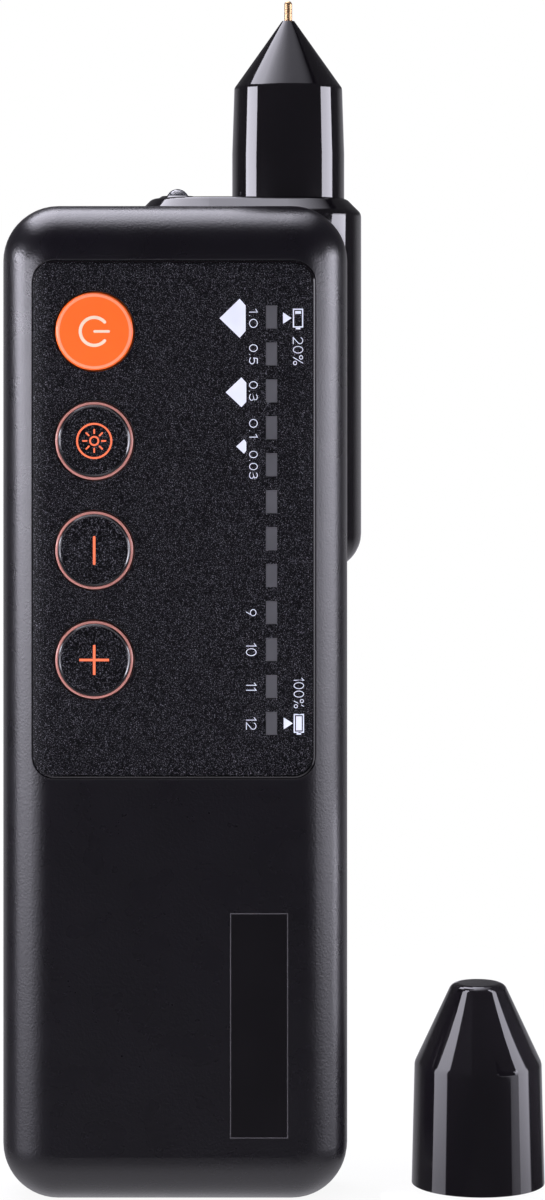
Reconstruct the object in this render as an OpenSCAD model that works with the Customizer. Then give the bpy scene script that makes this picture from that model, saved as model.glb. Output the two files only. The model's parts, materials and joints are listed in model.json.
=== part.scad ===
// Handheld thermal stone tester with a sprung copper needle, four buttons, a bar of
// twelve lights and a pull-off cap that stands beside it.
// The tester stands upright on its base. X runs to the right across the front, Y runs
// to the back and Z runs up. The origin is the middle of the base's flat strip.

/* [Body] */
// Width of the body across the front
body_w = 43.4; // [42:0.1:47]
// Height of the body from its base to its top
body_h = 125; // [120:0.5:135]
// Depth of the front housing, from the front plane to the parting plane
front_depth = 7.2; // [6.8:0.1:8]
// Depth of the rear housing, from the parting plane to the back plane
rear_depth = 8.8; // [8.4:0.1:10]
// Corner radius of the body seen from the front
corner_r = 7; // [6.6:0.1:9]
// Rounding of the front housing's edge
front_edge_r = 6.3; // [4.5:0.1:6.5]
// Rounding of the rear housing's edge
rear_edge_r = 3; // [2:0.1:4]
// Thickness of the housing walls
wall = 1.6; // [1.2:0.1:1.8]
// Thickness of the front wall behind the front plane
front_wall = 2.3; // [2:0.05:2.4]

/* [Control panel] */
// Width of the panel overlay
overlay_w = 35.2; // [33:0.1:36]
// Height of the panel overlay
overlay_h = 64.4; // [63:0.1:68]
// Corner radius of the panel overlay
overlay_r = 2.75; // [1:0.05:4]
// Thickness of the panel overlay
overlay_t = 0.5; // [0.3:0.05:0.7]
// How far the overlay's face lies behind the front's face
overlay_sink = 0.15; // [0.1:0.05:0.4]
// Distance of the overlay's top edge below the body's top
overlay_drop = 7.1; // [6.5:0.1:9]

/* [Buttons] */
// Diameter of a button
button_d = 9.7; // [8.6:0.1:10]
// Distance of the button column in from the overlay's left edge
button_inset = 7.7; // [7:0.1:8.6]
// Distance between neighbouring buttons
button_pitch = 13.62; // [13:0.02:14]
// Distance of the first button below the overlay's top edge
button_drop = 8.8; // [8.4:0.1:10]
// How far a button stands out of the overlay
button_proud = 0.4; // [0.35:0.05:0.7]
// Width of a button's rim
button_rim = 0.3; // [0.25:0.05:0.6]
// Rounding of a button's rim
button_edge_r = 0.4; // [0.2:0.05:0.5]
// Thickness of the disc let into a button
inlay_t = 0.3; // [0.2:0.05:0.5]
// Width of the bevel round a button's black disc
inlay_bevel_w = 0.35; // [0.2:0.05:0.5]
// Depth of the bevel round a button's black disc
inlay_bevel_t = 0.15; // [0.1:0.05:0.2]
// Thickness of a button's retaining flange
button_flange_t = 0.8; // [0.6:0.05:0.9]
// How far the flange reaches past the button's side
button_flange_w = 0.85; // [0.6:0.05:1]
// Travel of a button
button_travel = 0.3; // [0.2:0.05:0.4]
// Side of a tactile switch
switch_w = 6; // [5:0.1:6.5]
// Height of a tactile switch's body
switch_h = 2.5; // [2.2:0.05:2.6]
// Diameter of a switch plunger and of the stem that presses it
plunger_d = 3.2; // [2.4:0.1:3.6]

/* [Lights] */
// Number of light windows
light_count = 12; // [10:1:12]
// Distance of the light windows in from the overlay's right edge
light_inset = 5.45; // [4.5:0.05:6.5]
// Distance between neighbouring light windows
light_pitch = 4.6; // [4.2:0.02:4.7]
// Distance of the first light window below the overlay's top edge
light_drop = 7; // [6:0.1:8]
// Width of a light window
light_w = 1.35; // [1:0.05:1.8]
// Height of a light window
light_h = 2.8; // [2:0.05:3.2]
// Thickness of the bar that joins the light posts
light_bar_t = 1.6; // [1.2:0.1:2]
// Side of a light emitter
emitter_w = 1.2; // [0.8:0.1:1.6]
// Height of a light emitter
emitter_h = 0.8; // [0.5:0.05:1]

/* [Blank label] */
// Width of the blank label
label_w = 7.1; // [5:0.1:9]
// Height of the blank label
label_h = 27.9; // [20:0.1:32]
// Distance of the label's middle right of the body's middle
label_x = 10.6; // [8:0.1:11]
// Height of the label's middle above the base
label_z = 22.7; // [21:0.1:26]
// Thickness of the blank label
label_t = 0.25; // [0.15:0.05:0.4]

/* [Probe column] */
// Radius of the column's round ends
column_r = 9.45; // [9.3:0.05:10]
// Distance between the axes of the column's round ends
column_span = 10.05; // [9:0.05:12]
// Distance of the probe's axis in from the body's right side
probe_inset = 7.4; // [6.7:0.05:7.9]
// Height of the column
column_h = 47.9; // [44:0.1:50]
// How far the column stands above the body's top
column_rise = 1.4; // [1:0.1:2]
// Size of the bevel round the column's top
column_bevel = 1.9; // [1:0.1:1.9]
// Rounding of the column's foot
column_foot_r = 4.8; // [3:0.1:5]
// Distance of the column's front behind the parting plane
column_setback = 0.15; // [0.1:0.05:0.5]

/* [Probe barrel] */
// Diameter of the barrel's straight seat
barrel_d = 14.5; // [14:0.05:14.8]
// Height of the barrel's straight seat
barrel_seat_h = 5.8; // [5:0.1:7]
// Diameter of the barrel at its shoulder
barrel_neck_d = 13.95; // [13.2:0.05:14]
// Height of the barrel up to its shoulder
barrel_h = 14.3; // [13.8:0.1:15]
// Rounding of the barrel's shoulder
barrel_shoulder_r = 0.7; // [0.6:0.1:2]
// Height of the barrel's cone
cone_h = 8.7; // [8.4:0.1:9.2]
// Diameter of the cone's blunt end
nose_d = 1.6; // [1.5:0.05:2]
// Diameter of the barrel's spigot inside the column
spigot_d = 11.8; // [11:0.1:12.2]
// Length of the spigot below the column's top face
spigot_len = 10; // [9.5:0.1:12]
// Height of the nut on the spigot
nut_h = 3.5; // [2.5:0.1:4]
// Gap between the nut and the column's wall
nut_side_gap = 0.45; // [0.3:0.05:0.8]
// Width of the spanner slots across the nut
nut_slot_w = 2; // [1:0.1:3]

/* [Probe] */
// Diameter of the copper needle
needle_d = 1; // [0.8:0.05:1.1]
// How far the needle stands out of the cone
needle_out = 2.6; // [2:0.05:3]
// Travel of the needle
needle_travel = 1.5; // [1:0.1:1.8]
// Diameter of the needle's carrier
carrier_d = 6.08; // [5.6:0.02:6.2]
// Length of the needle's carrier
carrier_len = 8.4; // [7.8:0.1:8.6]
// Length of the carrier's solid front end
carrier_front = 2.4; // [2:0.1:2.6]
// Bore of the hollow behind the carrier's front end
carrier_bore_d = 4; // [3.6:0.1:4.2]
// Outer diameter of the guide sleeve
sleeve_d = 8.3; // [7.6:0.1:8.6]
// Diameter of the needle's bush
bush_d = 3.2; // [2.6:0.1:3.4]
// Length of the needle's bush
bush_len = 6.4; // [5:0.1:6.5]
// Diameter of the heater sleeve on the needle
heater_d = 3; // [2:0.1:3.2]
// Length of the heater sleeve
heater_len = 3; // [2:0.1:3.2]
// Diameter of the thermistor bead
bead_d = 1.4; // [1:0.1:1.8]
// Length of the thermistor bead
bead_len = 1.2; // [0.8:0.1:1.4]
// Length of the probe spring with the needle pressed in
spring_pressed_len = 5.4; // [5:0.1:5.6]
// Mean diameter of the probe spring
spring_d = 4.9; // [4.7:0.05:5]
// Wire diameter of the probe spring
spring_wire = 0.5; // [0.4:0.02:0.55]
// Turns of the probe spring
spring_turns = 5; // [4:1:5]
// Length of the plug behind the spring
plug_len = 4; // [3.4:0.1:4.4]

/* [Ultraviolet lamp] */
// Diameter of the lamp's dome
lamp_d = 3; // [2.6:0.1:3.4]
// Distance of the lamp in from the column's left side
lamp_inset = 5.2; // [4.6:0.1:7]
// How far the lamp stands above the column's top
lamp_out = 1.3; // [1:0.05:1.8]
// Width of the lamp's flange past its side
lamp_flange_w = 0.4; // [0.3:0.05:0.6]
// Thickness of the lamp's flange
lamp_flange_t = 1; // [0.8:0.05:1.2]
// Height of the raised ring round the lamp
lamp_ring_h = 0.35; // [0.2:0.05:0.5]
// Width of the raised ring at its foot
lamp_ring_w = 1.1; // [0.8:0.05:1.4]
// Diameter of a lamp lead
lamp_lead_d = 0.5; // [0.4:0.05:0.6]
// Distance between the lamp leads
lamp_lead_pitch = 2.54; // [1.8:0.02:2.6]

/* [Cap] */
// Thickness of the cap's wall at its mouth
cap_wall = 1.125; // [0.9:0.025:1.5]
// Thickness of the cap's wall at its shoulder
cap_shoulder_wall = 1.025; // [0.8:0.025:1.4]
// Height of the cap's shoulder above the barrel's shoulder height
cap_shoulder_rise = 1.1; // [1:0.1:2.5]
// Rounding of the cap's shoulder
cap_shoulder_r = 1.8; // [1:0.1:3]
// Diameter of the cap's top
cap_top_d = 6.7; // [6:0.1:8]
// Rounding of the cap's top edge
cap_top_r = 1.2; // [0.6:0.1:1.6]
// Gap between the cap's mouth and the column when the cap is on
cap_stand = 1.8; // [1:0.1:2.5]
// Gap between the needle's end and the cap's top when the cap is on
cap_needle_gap = 0.5; // [0.3:0.1:2]
// Thickness of the cap's top
cap_top_wall = 1.3; // [1:0.1:1.6]
// Distance of the cap from the column's side
cap_gap = 6.4; // [2:0.05:30]
// Distance of the cap's axis behind the origin
cap_y = 4.35; // [-4:0.05:10]

/* [Board and parts on it] */
// Thickness of the circuit board
board_t = 1.2; // [1:0.1:1.6]
// Space between the board's edge and the housing's lip
board_gap = 0.9; // [0.5:0.1:1.5]
// Side of the controller chip
controller_w = 7; // [5:0.1:8]
// Side of the amplifier chip
amplifier_w = 4.4; // [3:0.1:5]
// Side of the charger chip
charger_w = 3; // [2:0.1:3.4]
// Height of the chips
chip_h = 1; // [0.7:0.1:1.5]
// Diameter of the buzzer
buzzer_d = 12; // [9:0.1:12.5]
// Height of the buzzer
buzzer_h = 3.4; // [2.5:0.1:4]
// Width of a lead connector
plug_w = 6; // [5:0.1:7]
// Height of a lead connector along the board
plug_z = 4.5; // [3.5:0.1:5]
// How far a lead connector stands off the board
plug_y = 4.8; // [4.2:0.1:5.2]
// Diameter of an insulated lead
lead_d = 1.2; // [0.8:0.05:1.3]
// Distance between the two leads of a pair
lead_pitch = 1.8; // [1.6:0.05:2]

/* [Battery] */
// Gap between the battery cell and the screw bosses beside it
battery_side_gap = 0.5; // [0.4:0.1:3]
// Height of the battery cell
battery_h = 38; // [30:0.5:42]
// Gap between the battery cell and the circuit board
battery_board_gap = 0.8; // [0.6:0.1:1.6]
// Edge rounding of the battery cell
battery_edge_r = 1.6; // [1:0.1:2]
// Thickness of the pad behind the battery
battery_pad_t = 1; // [0.6:0.1:1.2]
// Height of the battery above the base
battery_z = 12; // [11:0.5:14]
// Length of the battery's leads
battery_lead_len = 4; // [3:0.5:6]

/* [Charging socket] */
// Width of the socket's shell
socket_w = 8.94; // [8.8:0.02:9.1]
// Height of the socket's shell across its mouth
socket_t = 3.26; // [3:0.02:3.3]
// Length of the socket's shell
socket_len = 7.3; // [6.5:0.1:8]
// Wall of the socket's shell
socket_wall = 0.3; // [0.2:0.02:0.4]
// Width of the socket's tongue
tongue_w = 6.7; // [6:0.1:7]
// Thickness of the socket's tongue
tongue_t = 0.7; // [0.6:0.05:0.9]
// Length of the socket's tongue
tongue_len = 4.5; // [4:0.1:5.5]

/* [Fasteners] */
// Distance of the screws in from the body's sides
screw_inset = 5.8; // [5.5:0.1:6.3]
// Height of the lower screws above the base
screw_low_z = 9; // [8:0.1:10]
// Distance of the upper screw below the body's top
screw_top_drop = 9; // [8:0.1:9.4]
// Distance of the middle screw below the overlay
screw_mid_drop = 3.6; // [3.2:0.1:5]
// Diameter of a screw's shank
screw_d = 2.2; // [1.8:0.1:2.4]
// Diameter of a screw's head
screw_head_d = 4.2; // [3.6:0.1:4.4]
// Thickness of a screw's head
screw_head_t = 1.4; // [1:0.1:1.6]
// Distance of the screws' tips behind the front wall
screw_spare = 1.8; // [1:0.1:2.5]
// Depth of a screw head's pocket in the back
screw_pocket = 2.4; // [2:0.1:3]
// Diameter of a front boss
boss_d = 5.6; // [5:0.1:5.8]
// Diameter of the stub that passes through the board
stub_d = 4.2; // [3.8:0.1:4.6]
// Diameter of a rear boss
rear_boss_d = 6.8; // [6.4:0.1:7]

/* [Clearances] */
// Gap round the overlay
overlay_gap = 0.15; // [0.1:0.05:0.3]
// Gap round the blank label
label_gap = 0.1; // [0.05:0.05:0.2]
// Gap between a button and its hole
button_gap = 0.2; // [0.15:0.05:0.3]
// Gap between a light post and the overlay
light_gap = 0.04; // [0.02:0.02:0.1]
// Gap between a light post and the housing
light_slot_gap = 0.1; // [0.05:0.05:0.2]
// Gap between a screw and its hole
screw_gap = 0.1; // [0.05:0.05:0.2]
// Gap between parts that are glued or pressed together
seat_gap = 0.03; // [0.02:0.01:0.06]
// Gap of a sliding fit
running_gap = 0.05; // [0.03:0.01:0.1]
// Gap between the cap and the barrel's seat
cap_fit_gap = 0.15; // [0.1:0.05:0.2]
// Gap round the charging socket
socket_gap = 0.15; // [0.1:0.05:0.2]
// Gap between the housing's lip and the front wall
lip_gap = 0.12; // [0.08:0.02:0.2]
// Thickness of the housing's lip
lip_t = 0.8; // [0.6:0.1:1]
// Height of the housing's lip
lip_h = 1; // [0.6:0.1:1.2]
// Gap between the barrel's spigot and the column's hole
spigot_gap = 0.1; // [0.05:0.05:0.2]

/* [Hidden] */
$fn = 64;
arc_steps = 10;
cut = 1;
inner_edge_r = 0.3;
bevel_soft_share = 0.6;
rim_edge_share = 0.7;
light_bar_margin = 0.5;
plunger_seat = 0.5;
bore_past_neck = 0.6;
lead_drop = 5;
stub_short = 0.2;
pilot_spare = 0.3;
board_rest = 0.3;
needle_dome_share = 0.9;

// Planes across the body, from front to back
body_d = front_depth + rear_depth;
front_edge = min(front_edge_r, corner_r - inner_edge_r, front_depth - inner_edge_r);
y_front = -(front_edge + body_d - rear_edge_r) / 2;
y_part = y_front + front_depth;
y_back = y_front + body_d;
y_overlay = y_front + overlay_sink;
y_wall_back = y_front + front_wall;
y_board_front = y_part - board_t / 2;
y_board_back = y_part + board_t / 2;
y_rear_wall = y_back - wall;

// Control panel
overlay_top = body_h - overlay_drop;
overlay_z = overlay_top - overlay_h / 2;
overlay_foot = overlay_top - overlay_h;
button_x = overlay_w / 2 - button_inset;
light_x = overlay_w / 2 - light_inset;
recess_w = overlay_w + 2 * overlay_gap;
recess_h = overlay_h + 2 * overlay_gap;
recess_depth = overlay_sink + overlay_t;
first_button_z = overlay_top - button_drop;
button_names = ["power", "uv", "minus", "plus"];
button_z = [for (i = [0 : len(button_names) - 1]) first_button_z - i * button_pitch];
first_light_z = overlay_top - light_drop;
light_z = [for (i = [0 : light_count - 1]) first_light_z - i * light_pitch];
light_mid_z = (light_z[0] + light_z[light_count - 1]) / 2;
light_bar_w = light_w + 2 * light_bar_margin;
light_bar_h = (light_count - 1) * light_pitch + light_h + 2 * light_bar_margin;

// Buttons, measured back from the front plane
button_top = overlay_sink - button_proud;
flange_front = front_wall + running_gap;
flange_back = flange_front + button_flange_t;
switch_front = front_depth - board_t / 2 - switch_h;
stem_end = flange_back + running_gap + button_travel;
plunger_back = switch_front + button_travel + plunger_seat;
plunger_pocket = plunger_back + button_travel + running_gap;

// Column and probe, measured up from the base
probe_y = y_part + column_setback + column_r;
probe_x = body_w / 2 - probe_inset;
column_mid_x = probe_x - column_span / 2;
lamp_x = column_mid_x - column_span / 2 - column_r + lamp_inset;
column_top = body_h + column_rise;
column_foot = column_top - column_h;
column_ceiling = column_top - wall;
shoulder_z = column_top + barrel_h;
nose_z = shoulder_z + cone_h;
needle_end = nose_z + needle_out;
spigot_end = column_top - spigot_len;
nut_d = 2 * (column_r - wall - nut_side_gap);
bore_end = shoulder_z - bore_past_neck;
carrier_top = bore_end - running_gap;
carrier_foot = carrier_top - carrier_len;
hollow_top = carrier_top - carrier_front;
spring_len = spring_pressed_len + needle_travel;
spring_foot = carrier_foot - spring_len;
plug_foot = spring_foot - plug_len;
needle_foot = hollow_top - heater_len - running_gap;
bush_top = bore_end + bush_len;
sleeve_bore_d = carrier_d + 2 * running_gap;
barrel_bore_d = sleeve_d + 2 * seat_gap;
bush_bore_d = needle_d + 2 * running_gap;
nose_bore_d = needle_d + 4 * running_gap;

// Cap
cap_bore_d = barrel_d + 2 * cap_fit_gap;
cap_neck_d = barrel_neck_d + 2 * cap_fit_gap;
cap_bore_len = barrel_seat_h - cap_stand;
cap_d = cap_bore_d + 2 * cap_wall;
cap_shoulder_d = cap_neck_d + 2 * cap_shoulder_wall;
cap_shoulder_h = barrel_h + cap_shoulder_rise;
cap_hollow_h = barrel_h + cone_h + needle_out - cap_stand + cap_needle_gap;
cap_h = cap_hollow_h + cap_top_wall;
cap_x = probe_x + column_r + cap_gap + cap_d / 2;
cap_inner_top_d = cap_top_d - 2 * cap_top_wall;

// Housing and board
lip_offset = wall + lip_gap;
board_inset = lip_offset + lip_t + board_gap;
board_r = corner_r - board_inset;
board_w = body_w - 2 * board_inset;
board_foot = lip_offset + lip_t + board_rest;
board_top = body_h - board_inset;
board_h = board_top - board_foot;
screw_x = body_w / 2 - screw_inset;
screw_places = [
    [-screw_x, screw_low_z],
    [screw_x, screw_low_z],
    [-screw_x, body_h - screw_top_drop],
    [screw_x, overlay_foot - screw_mid_drop]
];
screw_seat = y_back - screw_pocket;
screw_tip = y_wall_back + screw_spare;
pilot_end = screw_tip - pilot_spare;

// Battery, leads and lamp
y_battery_back = y_rear_wall - battery_pad_t;
battery_t = y_battery_back - y_board_back - battery_board_gap;
battery_w = 2 * screw_x - rear_boss_d - 2 * battery_side_gap;
y_battery_mid = y_battery_back - battery_t / 2;
battery_top = battery_z + battery_h;
battery_plug_foot = battery_top + battery_lead_len;
y_plug_mid = y_board_back + plug_y / 2;
probe_bend_r = (probe_y - y_plug_mid) / 2;
probe_plug_top = plug_foot - 2 * probe_bend_r - lead_drop;
lamp_centre_z = column_top + lamp_out - lamp_d / 2;
lamp_foot = column_ceiling - lamp_flange_t;
lamp_bend_r = 2;
lamp_lead_z = board_top - lead_drop;

// Spring wound as one tube of six sides, with eight rings in each turn
coil_sides = 6;
turn_rings = 8;
coil_rings = turn_rings * spring_turns;
ring_angle = 360 / turn_rings;
side_angle = 360 / coil_sides;
coil_rise = spring_len - spring_wire;
coil_slope = atan2(coil_rise, PI * spring_d * spring_turns);

// Direction from the coil's axis to its ring i
function coil_out(i) = [cos(ring_angle * i), sin(ring_angle * i), 0];

function coil_centre(i) =
    spring_d / 2 * coil_out(i) + [0, 0, spring_wire / 2 + coil_rise * i / coil_rings];

// Ring of points round the coil's centre line, square to it
function coil_ring(i) =
    let (out = coil_out(i))
    let (along = cos(coil_slope) * cross([0, 0, 1], out) + [0, 0, sin(coil_slope)])
    let (side = cross(along, out))
    [for (k = [0 : coil_sides - 1])
        coil_centre(i) + spring_wire / 2 * (out * cos(side_angle * k) + side * sin(side_angle * k))];

coil_points = [for (i = [0 : coil_rings]) each coil_ring(i)];
coil_walls = [
    for (i = [0 : coil_rings - 1], k = [0 : coil_sides - 1])
        let (a = i * coil_sides + k)
        let (b = i * coil_sides + (k + 1) % coil_sides)
        each [[a, a + coil_sides, b], [b, a + coil_sides, b + coil_sides]]
];
coil_last = coil_rings * coil_sides;
coil_ends = [
    for (k = [1 : coil_sides - 2])
        each [[0, k, k + 1], [coil_last, coil_last + k + 1, coil_last + k]]
];
coil_least_gap = min([
    for (i = [0 : coil_rings - turn_rings], k = [0 : coil_sides - 1], m = [0 : coil_sides - 1])
        norm(coil_ring(i)[k] - coil_ring(i + turn_rings)[m])
]);
echo(coil_least_gap = coil_least_gap);

// Helpers for outlines

function unit(v) = v / norm(v);

// Points of an arc of radius r that rounds the corner p between its neighbours a and b
function round_corner(a, p, b, r) =
    let (u = unit(a - p))
    let (v = unit(b - p))
    let (half = acos(u * v) / 2)
    let (centre = p + unit(u + v) * r / sin(half))
    let (from = p + u * r / tan(half) - centre)
    let (to = p + v * r / tan(half) - centre)
    let (start = atan2(from[1], from[0]))
    let (turn = atan2(to[1], to[0]) - start)
    let (sweep = turn > 180 ? turn - 360 : turn < -180 ? turn + 360 : turn)
    [for (i = [0 : arc_steps])
        centre + r * [cos(start + sweep * i / arc_steps), sin(start + sweep * i / arc_steps)]];

// Quarter of a disc in the first quadrant
module quarter_disc(r) {
    intersection() {
        circle(r);
        square(2 * r);
    }
}

// Rectangle with round corners, centred
module rounded_rect(w, h, r) {
    square([w, h - 2 * r], center = true);
    for (side = [-1, 1]) {
        translate([0, side * (h - r) / 2]) square([w - 2 * r, r], center = true);
    }
    for (i = [0 : 3]) {
        right = i == 0 || i == 3 ? 1 : -1;
        up = i < 2 ? 1 : -1;
        translate([right * (w / 2 - r), up * (h / 2 - r)]) rotate(90 * i) quarter_disc(r);
    }
}

// Bar with round ends, centred, w long and t across
module round_bar(w, t) {
    square([w - t, t], center = true);
    for (side = [-1, 1]) {
        translate([side * (w - t) / 2, 0]) intersection() {
            circle(t / 2);
            translate([side * t, 0]) square(2 * t, center = true);
        }
    }
}

// Section of a slab's edge: reach wide, depth tall, rounded at its upper outer corner
module edge_section(reach, depth, edge) {
    square([reach - edge, depth]);
    translate([reach - edge, 0]) square([edge, depth - edge]);
    translate([reach - edge, depth - edge]) quarter_disc(edge);
}

// Slab w by h with corner radius r, lying on Z = 0, with its upper edge rounded
module slab(w, h, r, depth, edge) {
    translate([0, 0, depth / 2]) cube([w - 2 * r, h - 2 * r, depth], center = true);
    for (side = [0, 180]) {
        rotate(side) translate([w / 2 - r, h / 2 - r, 0]) rotate([90, 0, 0])
            linear_extrude(h - 2 * r) edge_section(r, depth, edge);
        rotate(side + 90) translate([h / 2 - r, w / 2 - r, 0]) rotate([90, 0, 0])
            linear_extrude(w - 2 * r) edge_section(r, depth, edge);
        rotate(side) translate([w / 2 - r, h / 2 - r, 0])
            rotate_extrude(angle = 90) edge_section(r, depth, edge);
        rotate(side + 90) translate([h / 2 - r, w / 2 - r, 0])
            rotate_extrude(angle = 90) edge_section(r, depth, edge);
    }
}

// Half section of the column: r wide, h tall, with a soft bevel at its top and a round foot
module column_section(r, h, bevel, foot_edge) {
    side = [r, h - bevel];
    top = [r - bevel, h];
    soft = bevel * bevel_soft_share;
    square([r - foot_edge, h]);
    polygon(concat(
        [[0, foot_edge], [r, foot_edge]],
        round_corner([r, foot_edge], side, top, soft),
        round_corner(side, top, [0, h], soft),
        [[0, h]]
    ));
    translate([r - foot_edge, foot_edge]) rotate(-90) quarter_disc(foot_edge);
}

// Upright column with two round ends, standing on Z = 0
module column_form(r, h, bevel, foot_edge) {
    for (side = [-1, 1]) {
        translate([side * column_span / 2, 0, 0]) rotate(-90 * side)
            rotate_extrude(angle = 180) column_section(r, h, bevel, foot_edge);
    }
    translate([-column_span / 2, 0, 0]) rotate([90, 0, 90]) linear_extrude(column_span) {
        column_section(r, h, bevel, foot_edge);
        mirror([1, 0]) column_section(r, h, bevel, foot_edge);
    }
}

// Helpers for placing

// Puts a piece drawn upwards from Z = 0 on the parting plane, reaching to the front
module towards_front() {
    translate([0, y_part, body_h / 2]) rotate([90, 0, 0]) children();
}

// Puts a piece drawn upwards from Z = 0 on the parting plane, reaching to the back
module towards_back() {
    translate([0, y_part, body_h / 2]) rotate([-90, 0, 0]) children();
}

// Puts a piece drawn with its depth along +Z behind the front plane, at x and z
module behind_front(x, z) {
    translate([x, y_front, z]) rotate([-90, 0, 0]) children();
}

// Round bar along Y from y0 to y1
module bar_y(x, z, d, y0, y1) {
    translate([x, y0, z]) rotate([-90, 0, 0]) cylinder(d = d, h = y1 - y0);
}

// Puts a piece on the probe's axis
module on_probe(z) {
    translate([probe_x, probe_y, z]) children();
}

// Ring or tube on the probe's axis from z0 to z1
module probe_tube(d, bore, z0, z1) {
    on_probe(z0) difference() {
        cylinder(d = d, h = z1 - z0);
        translate([0, 0, -cut]) cylinder(d = bore, h = z1 - z0 + 2 * cut);
    }
}

// Quarter bend of a lead in the plane of Y and Z, starting at the angle given
module lead_bend(x, y, z, r, d, start) {
    translate([x, y, z]) rotate([90, 0, 90]) rotate(start)
        rotate_extrude(angle = 90) translate([r, 0]) circle(d = d);
}

// Box that stands on the board's back, centred at x and z
module on_board_back(x, z, w, h, t) {
    translate([x - w / 2, y_board_back, z - h / 2]) cube([w, t, h]);
}

// Housings

module socket_opening() {
    translate([0, y_part, -cut]) linear_extrude(board_foot + 2 * cut)
        round_bar(socket_w + 2 * socket_gap, socket_t + 2 * socket_gap);
}

// Front half of the body, with its sides and its front set back by d
module front_form(d) {
    towards_front()
        slab(body_w - 2 * d, body_h - 2 * d, corner_r - d, front_depth - d, front_edge - d);
}

// Straight block behind the overlay's outline, from before the front plane to the board's depth
module panel_block(w, h, r) {
    behind_front(0, overlay_z) translate([0, 0, -cut]) linear_extrude(front_depth) rounded_rect(w, h, r);
}

module front_housing() {
    color([0.09, 0.09, 0.1]) difference() {
        union() {
            difference() {
                front_form(0);
                towards_front() translate([0, 0, -cut]) slab(
                    body_w - 2 * wall, body_h - 2 * wall, corner_r - wall,
                    front_depth - front_wall + cut, front_edge - wall
                );
            }
            for (p = screw_places) {
                bar_y(p[0], p[1], boss_d, y_wall_back - front_wall / 4, y_board_front);
                bar_y(p[0], p[1], stub_d, y_board_front, y_board_back - stub_short);
            }
        }
        difference() {
            panel_block(recess_w, recess_h, overlay_r + overlay_gap);
            front_form(recess_depth);
        }
        for (z = button_z) {
            bar_y(-button_x, z, button_d + 2 * button_gap, y_front, y_wall_back + cut);
        }
        for (z = light_z) {
            translate([light_x, (y_front + y_wall_back) / 2, z]) cube([
                light_w + 2 * light_slot_gap, front_wall + cut, light_h + 2 * light_slot_gap
            ], center = true);
        }
        translate([label_x, y_front, label_z])
            cube([label_w + 2 * label_gap, 2 * label_t, label_h + 2 * label_gap], center = true);
        for (p = screw_places) {
            bar_y(p[0], p[1], screw_d + 2 * seat_gap, pilot_end, y_part + cut);
        }
        socket_opening();
    }
}

module housing_lip() {
    inner = lip_offset + lip_t;
    towards_front() translate([0, 0, -2 * lip_h]) linear_extrude(2 * lip_h) difference() {
        rounded_rect(body_w - 2 * wall, body_h - 2 * wall, corner_r - wall);
        rounded_rect(body_w - 2 * inner, body_h - 2 * inner, corner_r - inner);
    }
    towards_front() linear_extrude(lip_h) difference() {
        rounded_rect(body_w - 2 * lip_offset, body_h - 2 * lip_offset, corner_r - lip_offset);
        rounded_rect(body_w - 2 * inner, body_h - 2 * inner, corner_r - inner);
    }
}

module rear_housing() {
    color([0.04, 0.04, 0.045]) difference() {
        union() {
            difference() {
                union() {
                    towards_back() slab(body_w, body_h, corner_r, rear_depth, rear_edge_r);
                    translate([column_mid_x, probe_y, column_foot])
                        column_form(column_r, column_h, column_bevel, column_foot_r);
                    translate([lamp_x, probe_y, column_top]) cylinder(
                        d1 = lamp_d + 2 * lamp_ring_w, d2 = lamp_d + lamp_ring_w, h = lamp_ring_h
                    );
                }
                towards_back() translate([0, 0, -cut]) slab(
                    body_w - 2 * wall, body_h - 2 * wall, corner_r - wall,
                    rear_depth - wall + cut, rear_edge_r - wall
                );
                translate([column_mid_x, probe_y, column_foot + wall]) column_form(
                    column_r - wall, column_h - 2 * wall, inner_edge_r, column_foot_r - wall
                );
            }
            for (p = screw_places) {
                bar_y(p[0], p[1], rear_boss_d, y_board_back, y_back - wall / 2);
            }
            housing_lip();
        }
        on_probe(column_ceiling - cut) cylinder(d = spigot_d + 2 * spigot_gap, h = wall + 2 * cut);
        translate([lamp_x, probe_y, column_ceiling - cut])
            cylinder(d = lamp_d + 2 * running_gap, h = wall + lamp_ring_h + 2 * cut);
        for (p = screw_places) {
            bar_y(p[0], p[1], screw_d + 2 * screw_gap, y_part, y_back + cut);
            bar_y(p[0], p[1], screw_head_d + 4 * screw_gap, screw_seat, y_back + cut);
        }
        socket_opening();
    }
}

module housing_screws() {
    color("silver") for (p = screw_places) {
        bar_y(p[0], p[1], screw_d, screw_tip, screw_seat);
        bar_y(p[0], p[1], screw_head_d, screw_seat, screw_seat + screw_head_t);
    }
}

// Front panel

module panel_overlay() {
    color([0.14, 0.14, 0.16]) difference() {
        intersection() {
            panel_block(overlay_w, overlay_h, overlay_r);
            front_form(overlay_sink);
        }
        front_form(recess_depth);
        for (z = button_z) {
            bar_y(-button_x, z, button_d + 2 * button_gap, y_front, y_wall_back);
        }
        for (z = light_z) {
            translate([light_x, y_overlay, z]) cube([
                light_w + 2 * light_gap, 4 * overlay_t, light_h + 2 * light_gap
            ], center = true);
        }
    }
}

module blank_label() {
    color([0.08, 0.08, 0.085]) translate([label_x - label_w / 2, y_front, label_z - label_h / 2])
        cube([label_w, label_t, label_h]);
}

module light_pipe() {
    color([0.45, 0.45, 0.47]) {
        translate([light_x - light_bar_w / 2, y_wall_back, light_mid_z - light_bar_h / 2])
            cube([light_bar_w, light_bar_t, light_bar_h]);
        for (z = light_z) {
            translate([light_x - light_w / 2, y_overlay, z - light_h / 2])
                cube([light_w, front_wall - overlay_sink, light_h]);
        }
    }
}

// Buttons

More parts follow.
